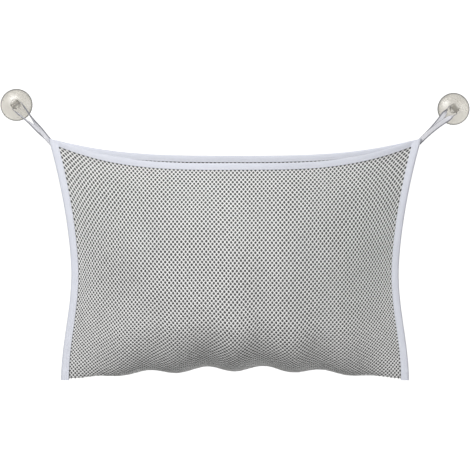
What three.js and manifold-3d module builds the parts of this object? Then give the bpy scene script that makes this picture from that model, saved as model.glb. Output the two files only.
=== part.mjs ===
// Bath toy organizer: a net bag with taped edges that hangs on a wall from two suction cups.
// Millimetres, +Z up and +X to the right. The wall is the plane y = 0 and the bag hangs on its -Y side.
// The origin lies in the wall plane, midway between the two cups.
import * as THREE from "three";
import { mergeVertices } from "three/addons/utils/BufferGeometryUtils.js";
import Module from "manifold-3d";

const wasm = await Module();
wasm.setup();

// Fits
const CLEARANCE = 0.3; // between pieces that touch or are sewn together
const WALL_GAP = 0.3; // between the wall and the sewn strap ends

// Bag outline, measured to the outside of the tape
const CORNER_HALF_WIDTH = 232;
const WAIST_HALF_WIDTH = 204;
const FOOT_HALF_WIDTH = 217;
const CORNER_DROP = 42; // from the middle of the cups down to the top corners
const BAG_HEIGHT = 299; // from the top corners to the ends of the side tapes
const WAIST_DROP = 167; // from the top corners to the narrowest place
const SHOULDER_POWER = 1.65; // how late the sides flare out towards the top corners

// Mouth of the bag
const MOUTH_SAG = 19; // drop of the back edge from the corners to the middle
const FRONT_MOUTH_DIP = 11.2; // how much lower the front edge hangs than the back edge
const MOUTH_SAG_POWER = 3.2; // how flat the edges hang along the middle
const MOUTH_DEPTH = 46; // how far the front edge stands out at the middle

// Belly and foot of the bag
const BELLY_DEPTH = 92;
const BELLY_DROP = 183; // from the top corners to the deepest place
const FOOT_DEPTH = 74;
const FOOT_LIFT = 1; // the net turns under this far above the ends of the side tapes
const FOOT_ARCH = 13.5; // rise of the net's foot from the corners to the middle
const SCALLOP_DEPTH = 3.5;
const SCALLOP_PITCH = 76;
const FOOT_ROUNDING = 62; // height over which the front net curls under to the back net

// Net
const NET_THICKNESS = 0.9;
const NET_STRAND = 4;
const SELVAGE_MARGIN = 0.8; // plain edge that shows between the tape and the first gaps
const NET_COLUMNS = 22; // half diamonds across, even
const NET_ROWS = 12; // half diamonds down, even

// Tape folded over the edges of the net
const TAPE_THICKNESS = 0.7;
const HEM_WIDTH = 8.3;
const SIDE_TAPE_WIDTH = 10;
const MITRE_LENGTH = 20; // over which the top end of a side tape turns in line with the mouth
const FOLD_STEPS = 3;
const HEM_STEPS = 24;
const SIDE_STEPS = 20;

// Strap loops
const STRAP_WIDTH = 6.5;
const STRAP_THICKNESS = 0.75;
const GATHERED_WIDTH = 4.6; // width of the strap inside the knob's hole
const TAIL_LENGTH = 20; // sewn end behind the corner
const FOLD_STANDOFF = 4; // from the corner to the strap's fold line
const STRAP_BEND = 1.6; // radius of the strap's turn into the hole
const STRAP_SEAT = 1.7; // how far below the hole's axis the strap lies
const LEFT_TWIST = { start: 0.1, end: 0.65 }; // where a strand turns edge-on, as shares of its length
const RIGHT_TWIST = { start: 0.6, end: 0.95 };
const PARTING_POWER = 1.5; // how late the two strands of a loop part
const STRAND_STEPS = 16;
const BEND_STEPS = 4;

// Suction cups
const CUP_SPAN = 546; // between the cup axes
const CUP_RISE = 5; // how much higher the left cup is pressed on than the right one
const CUP_RADIUS = 20;
const LIP_WIDTH = 2.2; // flat ring that seals against the wall
const RIM_THICKNESS = 1.2;
const RIM_ROUNDING = 0.5;
const DISH_DEPTH = 3.8;
const BELL_HEIGHT = 7;
const NECK_FILLET = 2.2;
const KNOB_RADIUS = 5.8;
const KNOB_CROWN = 2.6; // wall over the strap hole
const KNOB_ROUNDING = 1.6;
const HOLE_HEIGHT = 6; // axis of the strap hole, above the bell
const CUP_SIDES = 36;
const HOLE_SIDES = 20;
const CURVE_STEPS = 4;

// Heights that follow from the drops
const CORNER_Z = -CORNER_DROP;
const WAIST_Z = CORNER_Z - WAIST_DROP;
const BELLY_Z = CORNER_Z - BELLY_DROP;
const FOOT_Z = CORNER_Z - BAG_HEIGHT;

// Sizes that follow from the fits
const HEM_INSIDE = NET_THICKNESS / 2 + CLEARANCE; // half thickness of the fold's inside
const HEM_OUTSIDE = HEM_INSIDE + TAPE_THICKNESS;
const NET_SPACING = 2 * HEM_OUTSIDE + CLEARANCE; // front net to back net along the sides
const SIDE_INSIDE = NET_SPACING / 2 + HEM_INSIDE;
const SIDE_OUTSIDE = SIDE_INSIDE + TAPE_THICKNESS;
const STRAP_STACK = 2 * STRAP_THICKNESS + CLEARANCE; // two layers of strap
const STRAP_Y = -(WALL_GAP + STRAP_STACK / 2);
const SIDE_Y = -(WALL_GAP + STRAP_STACK + CLEARANCE + SIDE_OUTSIDE);
const FRONT_EDGE_Y = SIDE_Y - NET_SPACING / 2;
const BACK_EDGE_Y = SIDE_Y + NET_SPACING / 2;
const FOLD_Y = BACK_EDGE_Y - NET_THICKNESS / 2 - CLEARANCE; // where the front net meets the back net
const HOLE_RADIUS = Math.hypot(GATHERED_WIDTH / 2, STRAP_SEAT + STRAP_THICKNESS / 2) + CLEARANCE;
const HOLE_Y = -(BELL_HEIGHT + HOLE_HEIGHT);
const KNOB_TOP = BELL_HEIGHT + HOLE_HEIGHT + HOLE_RADIUS + KNOB_CROWN;

const tapeMaterial = new THREE.MeshStandardMaterial({ color: 0xe4e6ee, roughness: 0.85, metalness: 0 });
const netMaterial = new THREE.MeshStandardMaterial({ color: 0xdcdcda, roughness: 0.8, metalness: 0 });
const cupMaterial = new THREE.MeshStandardMaterial({
  color: 0xd6d3c2,
  roughness: 0.15,
  metalness: 0,
  transparent: true,
  opacity: 0.55,
});

const FORWARD = new THREE.Vector3(0, -1, 0);
const DOWN = new THREE.Vector3(0, 0, -1);
const part = new THREE.Group();

function addPiece(name, geometry, material) {
  const mesh = new THREE.Mesh(geometry, material);
  mesh.name = name;
  part.add(mesh);
  return mesh;
}

// Half width of the bag at a height, to the outside of the side tape
function halfWidth(z) {
  if (z > WAIST_Z) {
    const share = (z - WAIST_Z) / (CORNER_Z - WAIST_Z);
    return WAIST_HALF_WIDTH + (CORNER_HALF_WIDTH - WAIST_HALF_WIDTH) * share ** SHOULDER_POWER;
  }
  const share = THREE.MathUtils.smoothstep(WAIST_Z - z, 0, WAIST_Z - FOOT_Z);
  return WAIST_HALF_WIDTH + (FOOT_HALF_WIDTH - WAIST_HALF_WIDTH) * share;
}

// Half width of the net that shows between the side tapes
function openHalfWidth(z) {
  return halfWidth(z) - SIDE_TAPE_WIDTH - SELVAGE_MARGIN;
}

// Heights of the mouth edges and of the net's foot, at a share u of the half width
function backMouthZ(u) {
  return CORNER_Z - MOUTH_SAG * (1 - Math.abs(u) ** MOUTH_SAG_POWER);
}

function frontMouthZ(u) {
  return CORNER_Z - (MOUTH_SAG + FRONT_MOUTH_DIP) * (1 - Math.abs(u) ** MOUTH_SAG_POWER);
}

function footZ(u) {
  const inset = 1 - u * u;
  const scallop = SCALLOP_DEPTH * Math.cos((2 * Math.PI * u * FOOT_HALF_WIDTH) / SCALLOP_PITCH);
  return FOOT_Z + FOOT_LIFT + (FOOT_ARCH - scallop) * inset;
}

// How far the front net stands out at the middle, at a height
function bellyDepth(z) {
  if (z > BELLY_Z) {
    const share = Math.min(1, (z - BELLY_Z) / (frontMouthZ(0) - BELLY_Z));
    return BELLY_DEPTH - (BELLY_DEPTH - MOUTH_DEPTH) * share * share;
  }
  const share = (BELLY_Z - z) / (BELLY_Z - FOOT_Z);
  return BELLY_DEPTH - (BELLY_DEPTH - FOOT_DEPTH) * share * share;
}

// Quarter-round rise from 0 at the foot to 1 at the top of the rounding
function footRounding(height) {
  const below = 1 - Math.min(1, Math.max(0, height / FOOT_ROUNDING));
  return Math.sqrt(1 - below * below);
}

function frontY(u, z) {
  const full = FRONT_EDGE_Y - bellyDepth(z) * (1 - u * u);
  return FOLD_Y + (full - FOLD_Y) * footRounding(z - footZ(u));
}

// The back net hangs flat. The front net bellies out and ends facing down, where the foot is folded.
const frontSurface = { mouthZ: frontMouthZ, y: frontY, footNormal: DOWN };
const backSurface = { mouthZ: backMouthZ, y: () => BACK_EDGE_Y, footNormal: FORWARD };

// Height of a net's first row of knots, just below its hem
function netTop(surface, u) {
  return surface.mouthZ(u) - HEM_WIDTH - SELVAGE_MARGIN;
}

// Direction across a hem, which leans with the sides of the bag so that its ends meet the side tapes
function hemDirection(surface, u) {
  const top = netTop(surface, u);
  const mouth = surface.mouthZ(u);
  return new THREE.Vector3(u * (openHalfWidth(mouth) - openHalfWidth(top)), 0, mouth - top).normalize();
}

// Line down a net at a share u of its width, from the hem to the foot
class NetLine extends THREE.Curve {
  constructor(surface, u) {
    super();
    this.surface = surface;
    this.u = u;
  }

  getPoint(t, target = new THREE.Vector3()) {
    const top = netTop(this.surface, this.u);
    const foot = footZ(this.u);
    const z = foot + (top - foot) * (1 - t) ** 2;
    return target.set(this.u * openHalfWidth(z), this.surface.y(this.u, z), z);
  }
}

// Closed sheet made of faces between points, each point with a front and a back vertex
class ThickSheet {
  constructor() {
    this.positions = [];
    this.indices = [];
    this.edges = new Map();
  }

  vertex(point) {
    this.positions.push(point.x, point.y, point.z);
    return this.positions.length / 3 - 1;
  }

  // A point of the sheet's full thickness
  thick(point, normal) {
    const offset = normal.clone().multiplyScalar(NET_THICKNESS / 2);
    return { front: this.vertex(point.clone().add(offset)), back: this.vertex(point.clone().sub(offset)) };
  }

  // A point on the edge of a gap, where front and back meet
  thin(point) {
    const index = this.vertex(point);
    return { front: index, back: index };
  }

  // A convex face, its points in counter-clockwise order seen from the front
  face(...corners) {
    for (let i = 2; i < corners.length; i++) {
      const [a, b, c] = [corners[0], corners[i - 1], corners[i]];
      this.indices.push(a.front, b.front, c.front, c.back, b.back, a.back);
    }
    corners.forEach((from, i) => {
      const to = corners[(i + 1) % corners.length];
      this.edges.set(`${from.front} ${to.front}`, [from, to]);
    });
  }

  // Walls along the outer edges, then the geometry
  close() {
    for (const [from, to] of this.edges.values()) {
      const shared = this.edges.has(`${to.front} ${from.front}`);
      const meeting = from.front === from.back && to.front === to.back;
      if (shared || meeting) continue;
      this.indices.push(to.front, from.front, from.back, to.front, from.back, to.back);
    }
    const geometry = new THREE.BufferGeometry();
    geometry.setAttribute("position", new THREE.Float32BufferAttribute(this.positions, 3));
    geometry.setIndex(this.indices);
    geometry.computeVertexNormals();
    return geometry;
  }
}

// Shares of the half width for a net's columns, closer where the belly turns away at the sides
function columnShares() {
  const turn = Math.atan2(BELLY_DEPTH, WAIST_HALF_WIDTH);
  return Array.from({ length: NET_COLUMNS + 1 }, (_, column) => {
    const share = (2 * column) / NET_COLUMNS - 1;
    return Math.sin(share * turn) / Math.sin(turn);
  });
}

// A net of diamond gaps with a plain selvage along the mouth and both sides
function makeNet(surface) {
  const rows = NET_ROWS;
  const last = NET_COLUMNS;
  const shares = columnShares();
  const knots = shares.map((u) => new NetLine(surface, u).getSpacedPoints(rows));
  const sheet = new ThickSheet();

  const knotNormal = (column, row) => {
    if (row === rows) return surface.footNormal;
    const across = knots[Math.min(column + 1, last)][row].clone().sub(knots[Math.max(column - 1, 0)][row]);
    const down = knots[column][row + 1].clone().sub(knots[column][Math.max(row - 1, 0)]);
    return down.cross(across).normalize();
  };
  const knot = knots.map((line, column) =>
    line.map((point, row) => sheet.thick(point, knotNormal(column, row))),
  );

  // Selvage points: above the first row inside the hem, and beside the end columns inside the side tapes
  const selvageRise = HEM_WIDTH + SELVAGE_MARGIN - HEM_OUTSIDE - CLEARANCE;
  const above = (column) =>
    knots[column][0].clone().addScaledVector(hemDirection(surface, shares[column]), selvageRise);
  const beside = (column, point) => {
    const edge = halfWidth(point.z) - SIDE_OUTSIDE - CLEARANCE;
    return new THREE.Vector3(column === 0 ? -edge : edge, point.y, point.z);
  };
  const hemEdge = knots.map((_, column) => sheet.thick(above(column), FORWARD));
  const sideEdge = (column) =>
    knots[column].map((point, row) =>
      sheet.thick(beside(column, point), row === rows ? surface.footNormal : FORWARD),
    );
  const leftEdge = sideEdge(0);
  const rightEdge = sideEdge(last);
  const leftCorner = sheet.thick(beside(0, above(0)), FORWARD);
  const rightCorner = sheet.thick(beside(last, above(last)), FORWARD);

  // One gap, framed by strands between its knots, which come in counter-clockwise order
  const gap = (...ring) => {
    const corners = ring.map(([column, row]) => knots[column][row]);
    const center = new THREE.Vector3();
    corners.forEach((corner) => center.addScaledVector(corner, 1 / corners.length));
    let area = 0;
    let outline = 0;
    corners.forEach((corner, i) => {
      const next = corners[(i + 1) % corners.length];
      area += corner.clone().sub(center).cross(next.clone().sub(center)).length() / 2;
      outline += corner.distanceTo(next);
    });
    const open = 1 - NET_STRAND / 2 / ((2 * area) / outline);
    const inner = corners.map((corner) => sheet.thin(center.clone().lerp(corner, open)));
    ring.forEach(([column, row], i) => {
      const next = (i + 1) % ring.length;
      const [nextColumn, nextRow] = ring[next];
      sheet.face(knot[column][row], knot[nextColumn][nextRow], inner[next], inner[i]);
    });
  };

  // Diamonds, then half diamonds along the four borders
  for (let c = 1; c < last; c++) {
    for (let r = 1; r < rows; r++) {
      if ((c + r) % 2) gap([c - 1, r], [c, r + 1], [c + 1, r], [c, r - 1]);
    }
  }
  for (let c = 1; c < last; c += 2) {
    gap([c, 0], [c - 1, 0], [c, 1], [c + 1, 0]);
    gap([c, rows], [c + 1, rows], [c, rows - 1], [c - 1, rows]);
  }
  for (let r = 1; r < rows; r += 2) {
    gap([0, r], [0, r + 1], [1, r], [0, r - 1]);
    gap([last, r], [last, r - 1], [last - 1, r], [last, r + 1]);
  }

  // Selvage
  for (let column = 0; column < last; column++) {
    const next = column + 1;
    sheet.face(hemEdge[column], knot[column][0], knot[next][0], hemEdge[next]);
  }
  for (let row = 0; row < rows; row++) {
    const next = row + 1;
    sheet.face(leftEdge[row], leftEdge[next], knot[0][next], knot[0][row]);
    sheet.face(knot[last][row], knot[last][next], rightEdge[next], rightEdge[row]);
  }
  sheet.face(leftCorner, leftEdge[0], knot[0][0], hemEdge[0]);
  sheet.face(hemEdge[last], knot[last][0], rightEdge[0], rightCorner);
  return sheet.close();
}

// Solid swept from a flat profile through frames, each with an origin and the directions of x and y
function sweep(profile, frames) {
  const count = profile.length;
  const positions = [];
  for (const { origin, x, y } of frames) {
    for (const p of profile) {
      const point = origin.clone().addScaledVector(x, p.x).addScaledVector(y, p.y);
      positions.push(point.x, point.y, point.z);
    }
  }
  const indices = [];
  for (let ring = 0; ring < frames.length - 1; ring++) {
    for (let i = 0; i < count; i++) {
      const a = ring * count + i;
      const b = ring * count + ((i + 1) % count);
      indices.push(a, b, b + count, a, b + count, a + count);
    }
  }
  const end = (frames.length - 1) * count;
  for (const [a, b, c] of THREE.ShapeUtils.triangulateShape(profile, [])) {
    indices.push(c, b, a, end + a, end + b, end + c);
  }
  const geometry = new THREE.BufferGeometry();
  geometry.setAttribute("position", new THREE.Float32BufferAttribute(positions, 3));
  geometry.setIndex(indices);
  geometry.computeVertexNormals();
  return geometry;
}

// Profile of a tape folded over an edge: the fold touches y = 0 and the open side faces -y
function foldedTape(width, inside) {
  const outside = inside + TAPE_THICKNESS;
  const fold = new THREE.Path();
  fold.moveTo(outside, -width);
  fold.lineTo(outside, -outside);
  fold.absarc(0, -outside, outside, 0, Math.PI, false);
  fold.lineTo(-outside, -width);
  fold.lineTo(-inside, -width);
  fold.lineTo(-inside, -outside);
  fold.absarc(0, -outside, inside, Math.PI, 0, true);
  fold.lineTo(inside, -width);
  const points = fold.getPoints(FOLD_STEPS);
  return points.filter((point, i) => i === 0 || point.distanceTo(points[i - 1]) > TAPE_THICKNESS / 100);
}

// Tape hem along a mouth edge
function makeHem(surface) {
  const mouthPoint = (u) => {
    const z = surface.mouthZ(u);
    return new THREE.Vector3(u * openHalfWidth(z), surface.y(u, netTop(surface, u)), z);
  };
  const reach = 1 + (SELVAGE_MARGIN - 2 * CLEARANCE) / openHalfWidth(CORNER_Z);
  const step = (2 * reach) / HEM_STEPS;
  const frames = Array.from({ length: HEM_STEPS + 1 }, (_, i) => {
    const u = reach - i * step;
    const along = mouthPoint(u + step / 2).sub(mouthPoint(u - step / 2));
    const x = new THREE.Vector3(along.y, -along.x, 0).normalize();
    return { origin: mouthPoint(u), x, y: hemDirection(surface, u) };
  });
  return sweep(foldedTape(HEM_WIDTH, HEM_INSIDE), frames);
}

// Tape that closes one side of the bag. Its top end carries on the line of the mouth.
function makeSideTape(side) {
  const mouthSlope = (MOUTH_SAG * MOUTH_SAG_POWER) / CORNER_HALF_WIDTH;
  const top = CORNER_Z + mouthSlope * SIDE_TAPE_WIDTH;
  const step = (FOOT_Z - top) / SIDE_STEPS;
  const frames = Array.from({ length: SIDE_STEPS + 1 }, (_, i) => {
    const z = top + i * step;
    const flare = (halfWidth(z + step / 2) - halfWidth(z - step / 2)) / step;
    const mitre = THREE.MathUtils.smoothstep(z, top - MITRE_LENGTH, top);
    const outward = new THREE.Vector3(side, 0, THREE.MathUtils.lerp(-flare, mouthSlope, mitre)).normalize();
    return { origin: new THREE.Vector3(side * halfWidth(z), SIDE_Y, z), x: FORWARD, y: outward };
  });
  return sweep(foldedTape(SIDE_TAPE_WIDTH, SIDE_INSIDE), side < 0 ? frames : frames.reverse());
}

// Where a strap runs: from its fold line at the bag's corner up to the hole in its cup's knob
function strapLine(side) {
  const corner = new THREE.Vector3(side * CORNER_HALF_WIDTH, STRAP_Y, CORNER_Z);
  const cup = new THREE.Vector3((side * CUP_SPAN) / 2, 0, (-side * CUP_RISE) / 2);
  const along = cup.clone().sub(corner).setY(0).normalize();
  const across = new THREE.Vector3(along.z, 0, -along.x);
  const fold = corner.addScaledVector(along, FOLD_STANDOFF);
  const reach = cup.clone().sub(fold).dot(along);
  return { cup, along, across, fold, reach };
}

// Loop of strap: up one side of the knob, through its hole and down the other side.
// The two strands lie on each other at the fold line, then part and turn edge-on before the knob.
function makeStrapLoop(side, twist) {
  const { along, across, fold, reach } = strapLine(side);
  const top = reach - STRAP_SEAT;
  const spread = KNOB_RADIUS + CLEARANCE + STRAP_THICKNESS;
  const layer = (STRAP_STACK - STRAP_THICKNESS) / 2;
  const rise = HOLE_Y - STRAP_Y;
  const ease = THREE.MathUtils.smoothstep;

  // Stations along the first strand, up to the middle of the hole
  const stations = [];
  for (let i = 0; i <= STRAND_STEPS; i++) {
    const share = i / STRAND_STEPS;
    stations.push({
      up: (top - STRAP_BEND) * share,
      out: spread * Math.sin((share * Math.PI) / 2) ** PARTING_POWER,
      forward: rise * ease(share, 0, 1) - layer * (1 - share),
      turn: (ease(share, twist.start, twist.end) * Math.PI) / 2,
      width: THREE.MathUtils.lerp(STRAP_WIDTH, GATHERED_WIDTH, ease(share, twist.start, 1)),
    });
  }
  for (let i = 1; i <= BEND_STEPS; i++) {
    const angle = (i / BEND_STEPS) * (Math.PI / 2);
    stations.push({
      up: top - STRAP_BEND + STRAP_BEND * Math.sin(angle),
      out: spread - STRAP_BEND + STRAP_BEND * Math.cos(angle),
      forward: rise,
      turn: Math.PI / 2,
      width: GATHERED_WIDTH,
    });
  }
  const mirrored = stations.map((s) => ({
    ...s,
    out: -s.out,
    forward: 2 * rise * ease(s.up / (top - STRAP_BEND), 0, 1) - s.forward,
  }));
  const route = [...stations, ...mirrored.reverse()];
  const points = route.map((s) =>
    fold.clone().addScaledVector(along, s.up).addScaledVector(across, s.out).setY(STRAP_Y + s.forward),
  );
  const frames = route.map((s, i) => {
    const before = points[Math.max(i - 1, 0)];
    const after = points[Math.min(i + 1, points.length - 1)];
    const tangent = after.clone().sub(before).normalize();
    const edgeOn = FORWARD.clone().addScaledVector(tangent, -FORWARD.dot(tangent)).normalize();
    const flat = tangent.clone().cross(edgeOn);
    const x = flat.multiplyScalar(Math.cos(s.turn)).addScaledVector(edgeOn, Math.sin(s.turn));
    const y = tangent.clone().cross(x);
    return { origin: points[i], x: x.multiplyScalar(s.width), y };
  });
  const half = STRAP_THICKNESS / 2;
  const profile = [
    new THREE.Vector2(-0.5, -half),
    new THREE.Vector2(0.5, -half),
    new THREE.Vector2(0.5, half),
    new THREE.Vector2(-0.5, half),
  ];
  return sweep(profile, frames);
}

// Sewn ends of a strap, flat behind the bag's corner
function addStrapTail(name, side) {
  const { along, fold } = strapLine(side);
  const start = STRAP_STACK / 2 + CLEARANCE;
  const mesh = addPiece(name, new THREE.BoxGeometry(STRAP_WIDTH, STRAP_STACK, TAIL_LENGTH), tapeMaterial);
  mesh.position.copy(fold).addScaledVector(along, -start - TAIL_LENGTH / 2);
  mesh.rotation.y = Math.atan2(along.x, along.z);
}

function toSolid(geometry) {
  geometry.deleteAttribute("normal");
  geometry.deleteAttribute("uv");
  const merged = mergeVertices(geometry);
  const index = merged.index.array;
  const triangles = [];
  for (let i = 0; i < index.length; i += 3) {
    const [a, b, c] = index.subarray(i, i + 3);
    if (a !== b && b !== c && c !== a) triangles.push(a, b, c);
  }
  const vertProperties = new Float32Array(merged.attributes.position.array);
  const triVerts = new Uint32Array(triangles);
  return new wasm.Manifold(new wasm.Mesh({ numProp: 3, vertProperties, triVerts }));
}

function toGeometry(solid) {
  const mesh = solid.getMesh();
  const geometry = new THREE.BufferGeometry();
  geometry.setAttribute("position", new THREE.BufferAttribute(mesh.vertProperties, 3));
  geometry.setIndex(new THREE.BufferAttribute(mesh.triVerts, 1));
  geometry.computeVertexNormals();
  return geometry;
}

// Half section of a suction cup: radius, and height above the wall
function cupProfile() {
  const neck = KNOB_RADIUS + NECK_FILLET;
  const lipOuter = CUP_RADIUS - RIM_ROUNDING;
  const lipInner = lipOuter - LIP_WIDTH;
  const profile = new THREE.Path();
  profile.moveTo(0, DISH_DEPTH);
  profile.quadraticCurveTo(lipInner / 2, DISH_DEPTH, lipInner, 0);
  profile.lineTo(lipOuter, 0);
  profile.lineTo(CUP_RADIUS, RIM_ROUNDING);
  profile.lineTo(CUP_RADIUS, RIM_THICKNESS);
  profile.quadraticCurveTo((CUP_RADIUS + neck) / 2, BELL_HEIGHT - RIM_THICKNESS, neck, BELL_HEIGHT);
  profile.quadraticCurveTo(KNOB_RADIUS, BELL_HEIGHT, KNOB_RADIUS, BELL_HEIGHT + NECK_FILLET);
  profile.lineTo(KNOB_RADIUS, KNOB_TOP - KNOB_ROUNDING);
  profile.quadraticCurveTo(KNOB_RADIUS, KNOB_TOP, KNOB_RADIUS - KNOB_ROUNDING, KNOB_TOP);
  profile.lineTo(0, KNOB_TOP);
  return profile.getPoints(CURVE_STEPS);
}

// One-piece suction cup with a strap hole through its knob, its lip on the wall
function addCup(name, side) {
  const { cup, across } = strapLine(side);
  const body = new THREE.LatheGeometry(cupProfile(), CUP_SIDES).rotateX(Math.PI);
  const hole = new THREE.CylinderGeometry(HOLE_RADIUS, HOLE_RADIUS, 4 * KNOB_RADIUS, HOLE_SIDES);
  hole.applyQuaternion(new THREE.Quaternion().setFromUnitVectors(new THREE.Vector3(0, 1, 0), across));
  hole.translate(0, HOLE_Y, 0);
  const mesh = addPiece(name, toGeometry(toSolid(body).subtract(toSolid(hole))), cupMaterial);
  mesh.position.copy(cup);
}

addPiece("front_net", makeNet(frontSurface), netMaterial);
addPiece("back_net", makeNet(backSurface), netMaterial);
addPiece("front_hem", makeHem(frontSurface), tapeMaterial);
addPiece("back_hem", makeHem(backSurface), tapeMaterial);
addPiece("left_side_tape", makeSideTape(-1), tapeMaterial);
addPiece("right_side_tape", makeSideTape(1), tapeMaterial);
addPiece("left_strap_loop", makeStrapLoop(-1, LEFT_TWIST), tapeMaterial);
addPiece("right_strap_loop", makeStrapLoop(1, RIGHT_TWIST), tapeMaterial);
addStrapTail("left_strap_tail", -1);
addStrapTail("right_strap_tail", 1);
addCup("left_suction_cup", -1);
addCup("right_suction_cup", 1);

export default part;
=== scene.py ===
# Bath toy organizer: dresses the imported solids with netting, sewn tape, ribbed straps and clear cups.
# Sizes are in millimetres until a mesh is made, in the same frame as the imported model.
import math

import bpy
import numpy as np
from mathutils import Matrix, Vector


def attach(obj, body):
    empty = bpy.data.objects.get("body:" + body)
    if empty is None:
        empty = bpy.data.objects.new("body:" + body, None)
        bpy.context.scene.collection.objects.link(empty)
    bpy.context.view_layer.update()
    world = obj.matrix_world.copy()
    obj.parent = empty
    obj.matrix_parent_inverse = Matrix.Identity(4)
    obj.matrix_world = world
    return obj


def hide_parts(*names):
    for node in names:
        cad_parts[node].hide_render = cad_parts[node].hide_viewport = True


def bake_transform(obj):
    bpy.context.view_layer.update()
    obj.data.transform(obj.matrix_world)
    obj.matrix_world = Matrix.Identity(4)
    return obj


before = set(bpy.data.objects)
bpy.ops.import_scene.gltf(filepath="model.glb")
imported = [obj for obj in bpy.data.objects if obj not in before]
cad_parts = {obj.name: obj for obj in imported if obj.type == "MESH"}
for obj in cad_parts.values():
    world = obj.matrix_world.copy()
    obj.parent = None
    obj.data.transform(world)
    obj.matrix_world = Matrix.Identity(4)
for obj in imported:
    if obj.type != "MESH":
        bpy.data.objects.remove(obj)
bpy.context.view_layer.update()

MM = 0.001
SEED = 11
FORWARD = np.array([0.0, -1.0, 0.0])

# Fits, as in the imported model
CLEARANCE = 0.3
WALL_GAP = 0.3

# Bag outline, measured to the outside of the tape
CORNER_HALF_WIDTH = 232
WAIST_HALF_WIDTH = 204
FOOT_HALF_WIDTH = 217
CORNER_Z = -42
WAIST_Z = -209
FOOT_Z = -341
SHOULDER_POWER = 1.65

# Mouth, belly and foot
MOUTH_SAG = 19
MOUTH_SAG_POWER = 3.2
FRONT_MOUTH_DIP = 11.2
MOUTH_DEPTH = 46
BELLY_DEPTH = 92
BELLY_Z = -225
FOOT_DEPTH = 74
FOOT_LIFT = 1
FOOT_ARCH = 13.5
SCALLOP_DEPTH = 3.5
SCALLOP_PITCH = 76
FOOT_ROUNDING = 62

# Soft folds of the front net, which the solids leave out
FOOT_FOLD = 4.0
FOOT_FOLD_REACH = 70.0
MOUTH_FOLD = 1.8
MOUTH_FOLD_REACH = 60.0
BELLY_FOLD = 2.2

# Waves of those folds in radians: over half the bag's width, and over a millimetre of height
MOUTH_WAVE = 9.0
MOUTH_WAVE_START = 0.7
BELLY_WAVE_ACROSS = (6.3, 0.021)
BELLY_WAVE_DOWN = (1.7, 0.034)

# Side tapes turn a little with the belly, so that their open edges come forward
EDGE_LIFT = 2.6
EDGE_RELEASE = 8.0

# Netting: half meshes across and down, and how they lie in the tapes
NET_THICKNESS = 0.9
SELVAGE_MARGIN = 0.8
NET_COLUMNS = 168
COLUMN_SPAN = 210
COLUMN_POWER = 5
SIDE_COLUMNS = 3
SIDE_REACH = 7.3
FRONT_ROWS = 100
BACK_ROWS = 88
ROW_LEVELLING = 0.7
HEM_ROWS = 2
HEM_REACH = 6.0
LINE_SAMPLES = 600
END_ROUNDS = 8

# Holes of the netting, as shares of a mesh, and the width of the strands
HOLE_TIP = 0.58
HOLE_RISE = 0.27
HOLE_REACH = 0.53
HOLE_CORNERS = 6
STRAND = 0.8
NET_CREASE = 80

# Unevenness of the netting
NET_LENGTH = 600
KNOT_JITTER = 0.1
DRIFT = 0.25
DRIFT_WAVES = 5
DRIFT_LENGTHS = (60, 150)
DRIFT_MARGIN = 10

# Tape and its seams
TAPE_THICKNESS = 0.7
HEM_WIDTH = 8.3
SIDE_TAPE_WIDTH = 10
MITRE_LENGTH = 20
HEM_STEPS = 220
SIDE_STEPS = 150
FOLD_POINTS = 9
EDGE_POINTS = 4
HEM_TUCK = 3.0
HEM_TUCK_DROP = 1.0
HEM_PINCH = 0.45
HEM_PINCH_LENGTH = 4.0
SEAM_INSET = 1.8
SEAM_GROOVE = 0.16
SEAM_GROOVE_HALF_WIDTH = 0.55
TURNED_END = 12.5
TURNED_THICKNESS = 1.2
TURNED_STEP = 0.8
SWEEP_CREASE = 50

# Stitches, with their arch and how deep they sink as shares of the thread's radius
STITCH_PITCH = 3.3
STITCH_LENGTH = 2.6
STITCH_STATIONS = 6
STITCH_ARCH = 1.6
STITCH_SINK = 0.9
THREAD_RADIUS = 0.2
THREAD_SIDES = 6

# Straps
STRAP_WIDTH = 6.5
STRAP_THICKNESS = 0.75
GATHERED_WIDTH = 4.6
TAIL_LENGTH = 20
FOLD_STANDOFF = 4
STRAP_BEND = 1.6
STRAP_SEAT = 1.7
LEFT_TWIST = (0.1, 0.65)
RIGHT_TWIST = (0.75, 0.97)
LEFT_TURN = 68
RIGHT_TURN = 90
LEFT_PARTING = 1.3
RIGHT_PARTING = 2.2
STRAP_LAST_TURN = 0.15
STRAND_SAMPLES = 200
BEND_SAMPLES = 24
STRAP_STEP = 0.4
STRAP_EDGE_POINTS = 5
STRAP_FLAT_POINTS = 5
RIB_PITCH = 1.6
RIB_DEPTH = 0.2
# How far the painted shade along a strap's edges reaches onto its faces
EDGE_SHADE_OVERLAP = 0.55
TACK_ROWS = (5.0, 18.5)
TACK_STITCHES = 6

# Suction cups
CUP_SPAN = 546
CUP_RISE = 5
CUP_RADIUS = 20
LIP_WIDTH = 2.2
RIM_THICKNESS = 1.2
RIM_ROUNDING = 0.5
# Width of the painted shade inside a cup's rim
RIM_SHADE = 2.0
DISH_DEPTH = 3.8
BELL_HEIGHT = 7
NECK_FILLET = 2.2
KNOB_RADIUS = 5.8
KNOB_CROWN = 2.6
KNOB_ROUNDING = 1.6
HOLE_HEIGHT = 6
CUP_SIDES = 96
HOLE_SIDES = 64
CURVE_STEPS = 14
CUP_CREASE = 40

# Colours, most of them as a darker and a lighter shade
NET_SHADES = ((0.80, 0.80, 0.79), (0.90, 0.90, 0.89))
TAPE_SHADES = ((0.75, 0.77, 0.85), (0.82, 0.84, 0.92))
STRAP_SHADES = ((0.70, 0.70, 0.74), (0.80, 0.80, 0.84))
THREAD_SHADES = ((0.82, 0.82, 0.85), (0.90, 0.90, 0.93))
CUP_SHADES = ((0.47, 0.452, 0.41), (0.57, 0.548, 0.50))
# Painted shade: dark grey for the strap edges, which look dark as edges in shade
STRAP_EDGE_SHADE = (0.28, 0.28, 0.31)
# Painted shade along the cups' rims
RIM_PAINTED_SHADE = (0.1, 0.1, 0.09)
MOTTLE_DETAIL = 4.0

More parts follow.
